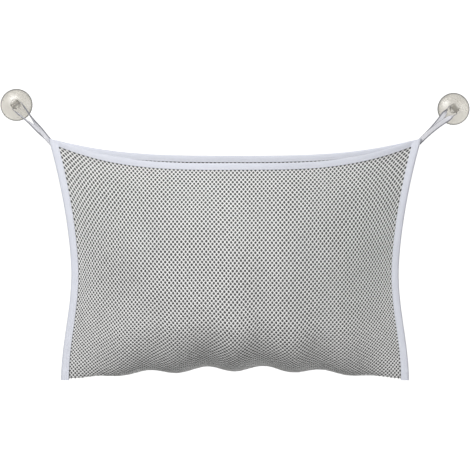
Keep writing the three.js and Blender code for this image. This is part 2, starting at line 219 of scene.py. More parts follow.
# Weaves: pitch along and across, in millimetres for tape and straps and in steps of the mesh for thread
TAPE_WEAVE = (0.5, 0.5)
STRAP_WEAVE = (0.8, 0.5)
THREAD_WEAVE = (1.2, 3.0)

# Finish of cloth, netting and clear plastic. A bump is its strength and its height in metres.
CLOTH_ROUGHNESS = 0.8
CLOTH_SHEEN = 0.08
CLOTH_MOTTLE = 0.09
CLOTH_BUMP = (0.6, 0.00012)
THREAD_ROUGHNESS = 0.6
NET_ROUGHNESS = 0.75
NET_MOTTLE = 30.0
YARN_SCALE = 2200.0
YARN_DETAIL = 2.0
YARN_BUMP = (0.5, 0.0001)
CUP_ROUGHNESS = (0.2, 0.36)
CUP_MOTTLE = 60.0
RIPPLE_SCALE = 180.0
RIPPLE_DETAIL = 1.0
RIPPLE_BUMP = (0.15, 0.0004)
CUP_CLEARNESS = 0.85
CUP_IOR = 1.53

# Floor and backdrop
BACKDROP_Y = 900
BACKDROP_TOP = 1600
FLOOR_Z = -600
FLOOR_FRONT = -4000
FLOOR_HALF_WIDTH = 4000
COVE_RADIUS = 300
COVE_POINTS = 13
BACKDROP_PAINT = 0.3
BACKDROP_SEEN_PAINT = 0.5
BACKDROP_GLOW = 0.8
STAGE_ROUGHNESS = 0.9

# Painted shade: dark cards behind the nets, with a faint glow, in place of the shade inside a full bag
CARD_GAP = 0.8
SHADE_CARD_PAINT = 0.04
SHADE_CARD_GLOW = 0.07
CARD_CLEAR_SHARE = 0.16

# Camera in metres, apart from its sensor. Lamps in metres, with their azimuth, elevation and watts.
VIEW_CENTRE = np.array([0, 0, -0.16])
CAMERA_DISTANCE = 2.6
FRAME_WIDTH = 0.5875
SENSOR_WIDTH = 36.0
LAMP_DISTANCE = 2.2
LAMP_SIZE = 1.2
LAMPS = {"key": (-26, 30, 41), "fill": (45, 10, 12), "rear": (180, 20, 26)}
WORLD_LIGHT = 0.14
WORLD_SEEN = 1.0

# Sizes that follow from the fits
HEM_INSIDE = NET_THICKNESS / 2 + CLEARANCE
NET_SPACING = 2 * (HEM_INSIDE + TAPE_THICKNESS) + CLEARANCE
SIDE_INSIDE = NET_SPACING / 2 + HEM_INSIDE
STRAP_STACK = 2 * STRAP_THICKNESS + CLEARANCE
STRAP_Y = -(WALL_GAP + STRAP_STACK / 2)
SIDE_Y = -(WALL_GAP + STRAP_STACK + CLEARANCE + SIDE_INSIDE + TAPE_THICKNESS)
FRONT_EDGE_Y = SIDE_Y - NET_SPACING / 2
BACK_EDGE_Y = SIDE_Y + NET_SPACING / 2
FOLD_Y = BACK_EDGE_Y - NET_THICKNESS / 2 - CLEARANCE
HOLE_RADIUS = math.hypot(GATHERED_WIDTH / 2, STRAP_SEAT + STRAP_THICKNESS / 2) + CLEARANCE
HOLE_Y = -(BELL_HEIGHT + HOLE_HEIGHT)
KNOB_TOP = BELL_HEIGHT + HOLE_HEIGHT + HOLE_RADIUS + KNOB_CROWN


def smoothstep(value, low, high):
    share = np.clip((value - low) / (high - low), 0, 1)
    return share * share * (3 - 2 * share)


def unit(vectors):
    return vectors / np.linalg.norm(vectors, axis=-1, keepdims=True)


def length_along(line):
    steps = np.linalg.norm(np.diff(line[:, :3], axis=0), axis=1)
    return np.concatenate([[0], np.cumsum(steps)])


def even_shares(steps):
    return np.linspace(0, 1, steps + 1)


# Points at shares of a line's length, with whatever else its rows hold
def respace(line, shares):
    length = length_along(line)
    return np.stack([np.interp(shares * length[-1], length, column) for column in line.T], axis=1)


def add_mesh(name, points, faces, material):
    mesh = bpy.data.meshes.new(name)
    mesh.from_pydata((np.asarray(points) * MM).tolist(), [], faces)
    mesh.shade_smooth()
    mesh.materials.append(material)
    piece = bpy.data.objects.new(name, mesh)
    bpy.context.collection.objects.link(piece)
    return piece


# Map of one (u, v) pair for each face corner, in the order of the faces
def add_uv(piece, name, corners):
    layer = piece.data.uv_layers.new(name=name)
    layer.data.foreach_set("uv", np.asarray(corners, dtype=np.float32).ravel())


def dress(piece, body, slot, *nodes):
    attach(piece, body)
    if nodes:
        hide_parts(*nodes)


# Shape of the bag, where u is the share of the half width between the side tapes
def half_width(z):
    rise = np.clip((z - WAIST_Z) / (CORNER_Z - WAIST_Z), 0, None) ** SHOULDER_POWER
    spread = smoothstep(WAIST_Z - z, 0, WAIST_Z - FOOT_Z)
    return (
        WAIST_HALF_WIDTH
        + (CORNER_HALF_WIDTH - WAIST_HALF_WIDTH) * rise
        + (FOOT_HALF_WIDTH - WAIST_HALF_WIDTH) * spread
    )


def open_half_width(z):
    return half_width(z) - SIDE_TAPE_WIDTH - SELVAGE_MARGIN


def back_mouth_z(u):
    return CORNER_Z - MOUTH_SAG * (1 - np.abs(u) ** MOUTH_SAG_POWER)


def front_mouth_z(u):
    return CORNER_Z - (MOUTH_SAG + FRONT_MOUTH_DIP) * (1 - np.abs(u) ** MOUTH_SAG_POWER)


def scallop(u):
    return np.cos(2 * math.pi * u * FOOT_HALF_WIDTH / SCALLOP_PITCH)


def foot_z(u):
    return FOOT_Z + FOOT_LIFT + (FOOT_ARCH - SCALLOP_DEPTH * scallop(u)) * (1 - u * u)


def belly_depth(z):
    above = np.clip((z - BELLY_Z) / (front_mouth_z(0) - BELLY_Z), 0, 1)
    below = np.clip((BELLY_Z - z) / (BELLY_Z - FOOT_Z), 0, 1)
    return BELLY_DEPTH - (BELLY_DEPTH - MOUTH_DEPTH) * above**2 - (BELLY_DEPTH - FOOT_DEPTH) * below**2


def wave(u, z, radians):
    return np.sin(radians[0] * u + radians[1] * z)


# Shallow folds: over the scalloped foot, along the mouth and across the belly
def front_folds(u, z):
    from_foot = np.exp(-(z - foot_z(u)) / FOOT_FOLD_REACH)
    from_mouth = np.exp(-(front_mouth_z(u) - z) / MOUTH_FOLD_REACH)
    foot = FOOT_FOLD * scallop(u) * from_foot
    mouth = MOUTH_FOLD * np.sin(MOUTH_WAVE * u + MOUTH_WAVE_START) * from_mouth
    belly = BELLY_FOLD * wave(u, z, BELLY_WAVE_ACROSS) * wave(u, z, BELLY_WAVE_DOWN)
    return foot + mouth + belly


# How far the open edge of a side tape comes forward at a height
def edge_lift(z):
    share = np.clip((z - FOOT_Z) / (CORNER_Z - FOOT_Z), 0, 1)
    return EDGE_LIFT * np.sin(math.pi * share)


def near_edge(u):
    return np.exp(-EDGE_RELEASE * np.clip(1 - np.abs(u), 0, None))


def front_y(u, z):
    inset = np.clip(1 - u * u, 0, None)
    full = FRONT_EDGE_Y - edge_lift(z) * near_edge(u) - (belly_depth(z) + front_folds(u, z)) * inset
    below = 1 - np.clip((z - foot_z(u)) / FOOT_ROUNDING, 0, 1)
    return FOLD_Y + (full - FOLD_Y) * np.sqrt(1 - below * below)


def back_y(u, z):
    return BACK_EDGE_Y - edge_lift(z) * near_edge(u)


# Height of a net's first row below its hem
def net_top(u, mouth_z):
    return mouth_z(u) - HEM_WIDTH - SELVAGE_MARGIN


# Direction across a hem, from the net up
def hem_direction(u, mouth_z):
    top = net_top(u, mouth_z)
    mouth = mouth_z(u)
    lean = u * (open_half_width(mouth) - open_half_width(top))
    return unit(np.stack([lean, 0 * u, mouth - top], axis=-1))


# Netting columns hang straight down, apart from those near the sides, which follow the tape
def column_x(column, z):
    return COLUMN_SPAN * column + (open_half_width(z) - COLUMN_SPAN) * column**COLUMN_POWER


# Height at which the columns meet an edge of the net
def column_end(columns, edge_z):
    u = columns
    for _ in range(END_ROUNDS):
        z = edge_z(u)
        u = column_x(columns, z) / open_half_width(z)
    return edge_z(u)


def share_above_belly(line):
    length = length_along(line)
    return np.interp(-BELLY_Z, -line[:, 2], length) / length[-1]


# Shares of a column's length for its rows: even in the bag's middle, and levelled towards its sides
def row_shares(line, rows, middle_share):
    own_share = share_above_belly(line)
    share = own_share + ROW_LEVELLING * (middle_share - own_share)
    bend = (own_share - share) / (share * (1 - share)) ** 2
    even = even_shares(rows)
    return even + bend * (even * (1 - even)) ** 2


# Points of a net in rows and columns, from its mouth to its foot
def net_lines(columns, mouth_z, y, rows):
    share = np.linspace(0, 1, LINE_SAMPLES)[:, None]
    top = column_end(columns, lambda u: net_top(u, mouth_z))
    foot = column_end(columns, foot_z)
    z = foot + (top - foot) * (1 - share) ** 2
    x = column_x(columns, z)
    lines = np.stack([x, y(x / open_half_width(z), z), z], axis=-1).swapaxes(0, 1)
    middle_share = share_above_belly(lines[len(columns) // 2])
    return np.stack([respace(line, row_shares(line, rows, middle_share)) for line in lines], axis=1)


def share_of_width(points):
    return points[:, 0] / open_half_width(points[:, 2])


# Small shifts of the knots along the net: long waves as soft netting has, and a little unevenness
def knot_shifts(lattice):
    random = np.random.default_rng(SEED)
    row_count, column_count = lattice.shape[:2]
    down = np.linspace(0, NET_LENGTH, row_count)[:, None]
    across = lattice[:, :, 0]
    shifts = np.zeros(lattice.shape)
    for axis in (0, 2):
        for _ in range(DRIFT_WAVES):
            bearing = random.uniform(0, 2 * math.pi)
            length = random.uniform(*DRIFT_LENGTHS)
            phase = random.uniform(0, 2 * math.pi)
            place = math.cos(bearing) * across + math.sin(bearing) * down
            shifts[:, :, axis] += DRIFT * np.sin(2 * math.pi * place / length + phase)
    shifts[:, :, [0, 2]] += random.normal(0, KNOT_JITTER, (row_count, column_count, 2))
    from_side = np.arange(column_count)
    from_side = np.minimum(from_side, from_side[::-1]) - SIDE_COLUMNS
    from_end = np.arange(row_count)
    from_end = np.minimum(from_end, from_end[::-1]) - HEM_ROWS
    from_edge = np.minimum(from_end[:, None], from_side)
    return shifts * smoothstep(from_edge, 0, DRIFT_MARGIN)[:, :, None]


# Knots of the whole net in rows and columns: down the front, round the foot and up the back
def net_lattice():
    columns = np.linspace(-1, 1, NET_COLUMNS + 1)
    front = net_lines(columns, front_mouth_z, front_y, FRONT_ROWS)
    back = net_lines(columns, back_mouth_z, back_y, BACK_ROWS)[::-1][1:]

    # Rows inside the hems, then columns inside the side tapes
    rise = np.linspace(HEM_REACH, 0, HEM_ROWS, endpoint=False)[:, None, None]
    front_hem = front[0] + rise * hem_direction(share_of_width(front[0]), front_mouth_z)
    back_hem = back[-1] + rise[::-1] * hem_direction(share_of_width(back[-1]), back_mouth_z)
    rows = np.concatenate([front_hem, front, back, back_hem])
    outset = np.linspace(0, SIDE_REACH, SIDE_COLUMNS + 1)[1:]
    left = np.repeat(rows[:, :1], SIDE_COLUMNS, axis=1)
    right = np.repeat(rows[:, -1:], SIDE_COLUMNS, axis=1)
    left[:, :, 0] -= outset[::-1]
    right[:, :, 0] += outset
    level = outset / (SIDE_TAPE_WIDTH + SELVAGE_MARGIN)
    left[:, :, 1] += edge_lift(left[:, :, 2]) * level[::-1]
    right[:, :, 1] += edge_lift(right[:, :, 2]) * level
    lattice = np.concatenate([left, rows, right], axis=1)
    return lattice + knot_shifts(lattice)


def net_outward(lattice):
    return unit(np.cross(np.gradient(lattice, axis=0), np.gradient(lattice, axis=1)))


# Share of a cell between two opposite strands that its hole takes up, against that of a usual cell
def hole_share(area, strand_length):
    gap = area / strand_length
    return (1 - STRAND / gap) / (1 - STRAND / np.median(gap))


# Corners of a leaning cell, moved so that its hole leaves strands of one width
def even_strands(top, left, bottom, right):
    falling = (right - top + bottom - left) / 2
    rising = (top - left + right - bottom) / 2
    area = np.linalg.norm(np.cross(falling, rising), axis=1)
    falling *= hole_share(area, np.linalg.norm(rising, axis=1))[:, None]
    rising *= hole_share(area, np.linalg.norm(falling, axis=1))[:, None]
    up = (rising - falling) / 2
    across = (rising + falling) / 2
    return up, -across, -up, across


# Rows and columns of the knots at the top, left, bottom and right of each cell,
# for the cells whose middle row is from first to last
def net_cells(lattice, first, last):
    row_count, column_count = lattice.shape[:2]
    row, column = np.mgrid[max(first, 1) : min(last, row_count - 2) + 1, 1 : column_count - 1]
    odd = (row + column) % 2 == 1
    row, column = row[odd], column[odd]
    return [(row - 1, column), (row, column - 1), (row + 1, column), (row, column + 1)]


# Points of each cell's hexagonal hole, from its top round by the left
def cell_holes(corners):
    centre = sum(corners) / len(corners)
    top, left, bottom, right = even_strands(*(corner - centre for corner in corners))
    hole = [
        top * HOLE_TIP,
        top * HOLE_RISE + left * HOLE_REACH,
        bottom * HOLE_RISE + left * HOLE_REACH,
        bottom * HOLE_TIP,
        bottom * HOLE_RISE + right * HOLE_REACH,
        top * HOLE_RISE + right * HOLE_REACH,
    ]
    return centre[:, None] + np.stack(hole, axis=1)


# Triangles between each cell's knots and its hole
def strand_faces(top, left, bottom, right, hole):
    triangles = [
        (top, left, hole[1]),
        (top, hole[1], hole[0]),
        (left, hole[2], hole[1]),
        (left, bottom, hole[2]),
        (bottom, hole[3], hole[2]),
        (bottom, right, hole[4]),
        (bottom, hole[4], hole[3]),
        (right, hole[5], hole[4]),
        (right, top, hole[5]),
        (top, hole[0], hole[5]),
    ]
    return np.concatenate([np.stack(triangle, axis=1) for triangle in triangles])


# Walls where a strand has no cell on its other side
def rim_walls(top, left, bottom, right, knots):
    start = np.concatenate([top, left, bottom, right])
    end = np.concatenate([left, bottom, right, top])
    rim = ~np.isin(start * knots + end, end * knots + start)
    start, end = start[rim], end[rim]
    upper = np.stack([end, start, start + knots], axis=1)
    lower = np.stack([end, start + knots, end + knots], axis=1)
    return np.concatenate([upper, lower])


# Net with an outer and an inner side that meet round its holes
def add_net(name, lattice, first, last, material):
    half = net_outward(lattice) * NET_THICKNESS / 2
    cells = net_cells(lattice, first, last)
    used = np.zeros(lattice.shape[:2], dtype=bool)
    for i, j in cells:
        used[i, j] = True
    knots = int(used.sum())
    knot_id = np.zeros(used.shape, dtype=int)
    knot_id[used] = np.arange(knots)

    holes = cell_holes([lattice[i, j] for i, j in cells])
    hole_id = 2 * knots + np.arange(len(holes) * HOLE_CORNERS).reshape(-1, HOLE_CORNERS).T
    knot, offset = lattice[used], half[used]
    points = np.concatenate([knot + offset, knot - offset, holes.reshape(-1, 3)])
    corner_ids = [knot_id[i, j] for i, j in cells]
    outer = strand_faces(*corner_ids, hole_id)
    inner = np.where(outer < knots, outer + knots, outer)[:, ::-1]
    faces = np.concatenate([outer, inner, rim_walls(*corner_ids, knots)])
    piece = add_mesh(name, points, faces.tolist(), material)
    piece.data.set_sharp_from_angle(angle=math.radians(NET_CREASE))

    # Flat map, with the outer side in one half and the inner side in the other
    low, high = points.min(axis=0), points.max(axis=0)
    share = (points - low) / (high - low)
    corners = share[faces.ravel()][:, [0, 2]]
    is_inner = np.repeat(np.arange(len(faces)) >= len(outer), 3)
    corners[:, 0] = (corners[:, 0] + is_inner) / 2
    add_uv(piece, "OFBake", corners)
    return piece


# Closed sweep of rings of points, with a map of millimetres along and round it
def add_sweep(name, rings, material):
    ring_count, count = rings.shape[:2]
    ring, side = np.mgrid[0 : ring_count - 1, 0:count]
    here = ring * count + side
    beside = ring * count + (side + 1) % count
    quads = np.stack([here, beside, beside + count, here + count], axis=-1).reshape(-1, 4)
    last = (ring_count - 1) * count
    caps = [list(range(count - 1, -1, -1)), list(range(last, last + count))]
    piece = add_mesh(name, rings.reshape(-1, 3), quads.tolist() + caps, material)
    piece.data.set_sharp_from_angle(angle=math.radians(SWEEP_CREASE))

    along = length_along(rings.mean(axis=1))
    around = length_along(np.concatenate([rings[0], rings[0, :1]]))
    quad_corners = [(ring, side), (ring, side + 1), (ring + 1, side + 1), (ring + 1, side)]
    quad_map = np.stack([np.stack([along[i], around[j]], axis=-1) for i, j in quad_corners], axis=2)
    cap_map = [(along[0], around[k]) for k in caps[0]]
    cap_map += [(along[-1], around[k]) for k in range(count)]
    add_uv(piece, "Weave", np.concatenate([quad_map.reshape(-1, 2), cap_map]))
    return piece


# Profile of a tape folded over an edge: the fold touches y = 0 and the open side faces -y
def folded_tape(width, inside, thickness=TAPE_THICKNESS):
    outside = inside + thickness
    edge = thickness / 2
    seam = -(width - SEAM_INSET)
    turn = np.linspace(0, math.pi, FOLD_POINTS)
    end = np.linspace(0, math.pi, EDGE_POINTS + 2)[1:-1]

    # Outside of the front face, from the open edge to the fold
    face = [
        (outside, edge - width),
        (outside, seam - SEAM_GROOVE_HALF_WIDTH),
        (outside - SEAM_GROOVE, seam),
        (outside, seam + SEAM_GROOVE_HALF_WIDTH),
        (outside, (seam - outside) / 2),
    ]
    fold = [(outside * math.cos(t), outside * (math.sin(t) - 1)) for t in turn]
    back = [(-x, y) for x, y in reversed(face)]
    middle = inside + edge
    back_end = [(-middle - edge * math.cos(t), edge - width - edge * math.sin(t)) for t in end]
    lining = [(-inside, edge - width)]
    lining += [(-inside * math.cos(t), inside * math.sin(t) - outside) for t in turn]
    lining += [(inside, edge - width)]
    front_end = [(middle - edge * math.cos(t), edge - width - edge * math.sin(t)) for t in end]
    return np.array(face + fold + back + back_end + lining + front_end)


def sweep_rings(profiles, origin, x, y):
    return origin[:, None] + profiles[..., :1] * x[:, None] + profiles[..., 1:] * y[:, None]


# Hem of a mouth edge: frames run from right to left, with x out of the bag's front.
# Past the side tapes' open edges the hem is lowered a little, out of sight inside the tape.
def hem_frames(mouth_z, y, reach):
    u = np.linspace(reach, -reach, HEM_STEPS + 1)
    z = mouth_z(u)
    top = net_top(u, mouth_z)
    tuck = np.clip(np.abs(u) - 1, 0, None) * open_half_width(CORNER_Z) / HEM_TUCK
    origin = np.stack([u * open_half_width(z), y(u, top), z - HEM_TUCK_DROP * tuck], axis=1)
    along = np.gradient(origin, axis=0)
    x = unit(np.stack([-along[:, 1], along[:, 0], 0 * u], axis=1))
    return origin, x, hem_direction(u, mouth_z)


# Share of the half width at a distance beyond the open edge of a side tape
def reach_past_edge(distance):
    return 1 + distance / open_half_width(CORNER_Z)


# A side tape's top end is cut along the mouth, and the tape turns with the belly below it
def side_frames(side):
    mouth_slope = MOUTH_SAG * MOUTH_SAG_POWER / CORNER_HALF_WIDTH
    top = CORNER_Z + mouth_slope * SIDE_TAPE_WIDTH
    z = np.linspace(top, FOOT_Z, SIDE_STEPS + 1)
    flare = np.gradient(half_width(z), z)
    mitre = smoothstep(z, top - MITRE_LENGTH, top)
    turn = np.arcsin(edge_lift(z) / SIDE_TAPE_WIDTH)
    origin = np.stack([side * half_width(z), np.full(z.shape, SIDE_Y), z], axis=1)
    y = np.stack([side * np.cos(turn), np.sin(turn), mouth_slope * mitre - flare * (1 - mitre)], axis=1)
    x = np.stack([side * np.sin(turn), -np.cos(turn), 0 * z], axis=1)
    order = slice(None) if side < 0 else slice(None, None, -1)
    return origin[order], x[order], unit(y)[order]


# Hem, pressed flat where its ends go into the side tapes
def add_hem(name, mouth_z, y, material):
    reach = reach_past_edge(HEM_TUCK)
    origin, x, up = hem_frames(mouth_z, y, reach)
    profiles = np.tile(folded_tape(HEM_WIDTH, HEM_INSIDE), (len(origin), 1, 1))
    past_edge = np.abs(np.linspace(reach, -reach, len(origin)))
    pinch = smoothstep(past_edge, reach_past_edge(-HEM_PINCH_LENGTH), 1)
    profiles[..., 0] *= (1 - (1 - HEM_PINCH) * pinch)[:, None]
    return add_sweep(name, sweep_rings(profiles, origin, x, up), material)


# Side tape, whose lower end is turned over and so thicker
def add_side_tape(name, side, material):
    origin, x, y = side_frames(side)
    plain = folded_tape(SIDE_TAPE_WIDTH, SIDE_INSIDE)
    turned = folded_tape(SIDE_TAPE_WIDTH, SIDE_INSIDE, TURNED_THICKNESS)
    above_end = origin[:, 2] - FOOT_Z
    share = smoothstep(above_end, TURNED_END, TURNED_END + TURNED_STEP)[:, None, None]
    profiles = turned * (1 - share) + plain * share
    profiles[..., 1] -= profiles[..., 1].max(axis=1, keepdims=True)
    return add_sweep(name, sweep_rings(profiles, origin, x, y), material)


# Rows of small arched stitches along lines of points with an outward direction
class Stitches:
    def __init__(self):
        self.points = []
        self.faces = []
        self.corners = []

    def stitch(self, centre, along, outward):
        sideways = np.cross(along, outward)
        angles = np.linspace(0, 2 * math.pi, THREAD_SIDES, endpoint=False)
        first = len(self.points)
        for s in np.linspace(-1, 1, STITCH_STATIONS):
            lift = THREAD_RADIUS * (STITCH_ARCH * math.cos(s * math.pi / 2) - STITCH_SINK)
            spine = centre + along * (s * STITCH_LENGTH / 2) + outward * lift
            for a in angles:
                spoke = sideways * math.cos(a) + outward * math.sin(a)
                self.points.append(spine + THREAD_RADIUS * spoke)
        for i in range(STITCH_STATIONS - 1):
            low, high = first + i * THREAD_SIDES, first + (i + 1) * THREAD_SIDES
            for k in range(THREAD_SIDES):
                n = (k + 1) % THREAD_SIDES
                self.faces.append([low + k, high + k, high + n, low + n])
                self.corners += [(i, k), (i + 1, k), (i + 1, k + 1), (i, k + 1)]
        ends = [range(THREAD_SIDES), range(THREAD_SIDES - 1, -1, -1)]
        starts = [first, first + (STITCH_STATIONS - 1) * THREAD_SIDES]
        for start, order in zip(starts, ends):
            self.faces.append([start + k for k in order])
            self.corners += [(0, k) for k in order]

    def row(self, line, outward):
        count = int(length_along(line)[-1] / STITCH_PITCH)
        spaced = respace(np.concatenate([line, outward], axis=1), even_shares(2 * count))
        for i in range(1, 2 * count, 2):
            along = unit(spaced[i + 1, :3] - spaced[i - 1, :3])
            facing = spaced[i, 3:] - along * (spaced[i, 3:] @ along)
            self.stitch(spaced[i, :3], along, unit(facing))

    # Seam along both faces of a folded tape
    def seam(self, frames, width, inside):
        origin, x, y = frames
        surface = inside + TAPE_THICKNESS - SEAM_GROOVE
        for face in (1, -1):
            self.row(origin + face * surface * x - (width - SEAM_INSET) * y, face * x)

    # Bar tacks across the sewn ends of a strap, on its wall side
    def tacks(self, line):
        for distance in TACK_ROWS:
            for k in range(TACK_STITCHES):
                offset = ((k + 0.5) / TACK_STITCHES - 0.5) * STRAP_WIDTH
                centre = line.fold - line.along * distance + line.across * offset
                centre[1] = STRAP_Y + STRAP_STACK / 2
                self.stitch(centre, line.along, -FORWARD)

    def add(self, name, material):
        piece = add_mesh(name, self.points, self.faces, material)
        add_uv(piece, "Weave", self.corners)
        return piece


# Line of a strap, from its fold at a corner of the bag to the middle of its cup
class StrapLine:
    def __init__(self, side):
        corner = np.array([side * CORNER_HALF_WIDTH, STRAP_Y, CORNER_Z])
        self.cup = np.array([side * CUP_SPAN / 2, 0, -side * CUP_RISE / 2])
        self.along = unit((self.cup - corner) * (1, 0, 1))
        self.across = np.array([self.along[2], 0, -self.along[0]])
        self.fold = corner + self.along * FOLD_STANDOFF
        self.reach = (self.cup - self.fold) @ self.along


# One strap, from its front sewn end up beside the knob, through the hole and back to its rear sewn end.
# Each row is a point, the strap's turn there and its width.
def strap_route(line, twist, turn_degrees, parting):
    straight = line.reach - STRAP_SEAT - STRAP_BEND
    spread = KNOB_RADIUS + CLEARANCE + STRAP_THICKNESS
    layer = (STRAP_STACK - STRAP_THICKNESS) / 2
    rise = HOLE_Y - STRAP_Y
    tail = -(STRAP_STACK / 2 + CLEARANCE + TAIL_LENGTH)

    # Each list runs over the sewn end, then the strand, then its bend at the knob
    share = np.linspace(0, 1, STRAND_SAMPLES)
    angle = np.linspace(0, math.pi / 2, BEND_SAMPLES)[1:]
    up = np.concatenate([[tail], straight * share, straight + STRAP_BEND * np.sin(angle)])
    bend_out = spread - STRAP_BEND + STRAP_BEND * np.cos(angle)
    out = np.concatenate([[0], spread * share**parting, bend_out])
    climb = np.concatenate([[0], rise * smoothstep(share, 0, 1), np.full(angle.shape, rise)])
    apart = np.concatenate([[layer], layer * (1 - share), 0 * angle])
    part_turn = math.radians(turn_degrees) * smoothstep(share, *twist)
    last_turn = (math.pi / 2 - math.radians(turn_degrees)) * smoothstep(share, 1 - STRAP_LAST_TURN, 1)
    turn = np.concatenate([[0], part_turn + last_turn, np.full(angle.shape, math.pi / 2)])
    draw = np.concatenate([[0], smoothstep(share, twist[0], 1), np.ones(angle.shape)])
    width = STRAP_WIDTH + (GATHERED_WIDTH - STRAP_WIDTH) * draw

    def strand(hand):
        points = line.fold + up[:, None] * line.along + hand * out[:, None] * line.across
        points[:, 1] = STRAP_Y + climb - hand * apart
        return np.column_stack([points, turn, width])

    return np.concatenate([strand(1), strand(-1)[::-1]])


# Section of a strap with half round edges: place across, depth, and how far the edges bulge
def strap_profile():
    edge = np.linspace(-math.pi / 2, math.pi / 2, STRAP_EDGE_POINTS)
    flat = np.linspace(-1, 1, STRAP_FLAT_POINTS + 2)[1:-1]
    right = [(1, math.sin(a) / 2, math.cos(a) / 2) for a in edge]
    upper = [(-s, 1 / 2, 0) for s in flat]
    left = [(-1, -depth, -bulge) for _, depth, bulge in right]
    lower = [(s, -1 / 2, 0) for s in flat]
    return np.array(right + upper + left + lower)


# Strap with ribs across it
def add_strap(name, route, material):
    spaced = respace(route, even_shares(int(length_along(route)[-1] / STRAP_STEP)))
    line, turn, width = spaced[:, :3], spaced[:, 3:4], spaced[:, 4:]
    tangent = unit(np.gradient(line, axis=0))
    edge_on = unit(FORWARD - tangent * (tangent @ FORWARD)[:, None])
    flat = np.cross(tangent, edge_on)
    x = flat * np.cos(turn) + edge_on * np.sin(turn)
    y = np.cross(tangent, x)
    rib = np.abs(np.sin(np.arange(len(line)) * STRAP_STEP * math.pi / RIB_PITCH))[:, None]
    thickness = STRAP_THICKNESS * (1 - RIB_DEPTH * (1 - rib))
    across, depth, bulge = strap_profile().T
    wide = across * (width - thickness) / 2 + bulge * thickness
    rings = line[:, None] + wide[..., None] * x[:, None] + (depth * thickness)[..., None] * y[:, None]
    return add_sweep(name, rings, material)


def quadratic(start, control, end):
    t = np.linspace(0, 1, CURVE_STEPS + 1)[:, None]
    start, control, end = (np.array(p, dtype=float) for p in (start, control, end))
    return (1 - t) ** 2 * start + 2 * t * (1 - t) * control + t * t * end


# Half section of a cup: radius, and height above the wall
def cup_profile():
    neck = KNOB_RADIUS + NECK_FILLET
    lip_outer = CUP_RADIUS - RIM_ROUNDING
    lip_inner = lip_outer - LIP_WIDTH
    dish = quadratic((0, DISH_DEPTH), (lip_inner / 2, DISH_DEPTH), (lip_inner, 0))
    rim = quadratic((lip_outer, 0), (CUP_RADIUS, 0), (CUP_RADIUS, RIM_ROUNDING))
    shoulder = ((CUP_RADIUS + neck) / 2, BELL_HEIGHT - RIM_THICKNESS)
    bell = quadratic((CUP_RADIUS, RIM_THICKNESS), shoulder, (neck, BELL_HEIGHT))
    fillet_top = (KNOB_RADIUS, BELL_HEIGHT + NECK_FILLET)
    fillet = quadratic((neck, BELL_HEIGHT), (KNOB_RADIUS, BELL_HEIGHT), fillet_top)
    crown_start = (KNOB_RADIUS, KNOB_TOP - KNOB_ROUNDING)
    crown = quadratic(crown_start, (KNOB_RADIUS, KNOB_TOP), (KNOB_RADIUS - KNOB_ROUNDING, KNOB_TOP))
    return np.concatenate([dish, rim, bell, fillet[1:], crown, [(0, KNOB_TOP)]])


def lathe(profile, sides):
    angle = np.linspace(0, 2 * math.pi, sides, endpoint=False)[:, None]
    radius, height = profile[1:-1].T
    rings = np.stack([np.cos(angle) * radius, -height + 0 * angle, np.sin(angle) * radius], axis=-1)
    count = len(radius)
    points = [*rings.reshape(-1, 3), (0, -profile[0, 1], 0), (0, -profile[-1, 1], 0)]
    first, last = len(points) - 2, len(points) - 1
    faces = []
    for s in range(sides):
        here, there = s * count, (s + 1) % sides * count
        faces.append([first, here, there])
        faces.append([last, there + count - 1, here + count - 1])
        for k in range(count - 1):
            faces.append([here + k, here + k + 1, there + k + 1, there + k])
    return np.array(points), faces


# Round bar that cuts the strap's hole through a knob
def add_drill(line, material):
    turn = np.linspace(0, 2 * math.pi, HOLE_SIDES, endpoint=False)[:, None]
    ring = np.cos(turn) * line.along + np.sin(turn) * FORWARD
    circle = HOLE_RADIUS * ring + HOLE_Y * -FORWARD + line.cup
    reach = line.across * 2 * KNOB_RADIUS
    here = np.arange(HOLE_SIDES)
    after = (here + 1) % HOLE_SIDES
    walls = np.stack([here, after, after + HOLE_SIDES, here + HOLE_SIDES], axis=1).tolist()
    lids = [list(range(HOLE_SIDES - 1, -1, -1)), list(range(HOLE_SIDES, 2 * HOLE_SIDES))]
    return add_mesh("drill", np.concatenate([circle - reach, circle + reach]), walls + lids, material)


def cut_away(piece, drill):
    cut = piece.modifiers.new("hole", "BOOLEAN")
    cut.object = drill
    cut.solver = "EXACT"
    whole = piece.evaluated_get(bpy.context.evaluated_depsgraph_get())
    mesh = bpy.data.meshes.new_from_object(whole)
    piece.modifiers.clear()
    piece.data = mesh
    bpy.data.objects.remove(drill)


# Map of the distance from a cup's axis and the height above the wall
def add_section_map(piece, cup):
    mesh = piece.data
    place = np.empty(3 * len(mesh.vertices))
    mesh.vertices.foreach_get("co", place)
    place = place.reshape(-1, 3) / MM - cup
    corner = np.empty(len(mesh.loops), dtype=int)
    mesh.loops.foreach_get("vertex_index", corner)
    section = np.stack([np.hypot(place[:, 0], place[:, 2]), -place[:, 1]], axis=1)
    add_uv(piece, "Section", section[corner])


def add_cup(name, line, material):
    points, faces = lathe(cup_profile(), CUP_SIDES)
    piece = add_mesh(name, points + line.cup, faces, material)
    cut_away(piece, add_drill(line, material))
    piece.data.set_sharp_from_angle(angle=math.radians(CUP_CREASE))
    add_section_map(piece, line.cup)
    return piece


# New node, with links for the inputs that are sockets and values for the others
def add_node(tree, kind, inputs=None, **settings):
    node = tree.nodes.new(kind)
    for key, value in settings.items():
        setattr(node, key, value)
    for key, value in (inputs or {}).items():
        if isinstance(value, bpy.types.NodeSocket):
            tree.links.new(value, node.inputs[key])
        else:
            node.inputs[key].default_value = value
    return node


def new_material(name, roughness):
    material = bpy.data.materials.new(name)
    material.use_nodes = True
    tree = material.node_tree
    shader = tree.nodes["Principled BSDF"]
    shader.inputs["Roughness"].default_value = roughness
    return material, tree, shader


def math_node(tree, operation, a, b=0.0):
    return add_node(tree, "ShaderNodeMath", {0: a, 1: b}, operation=operation).outputs[0]


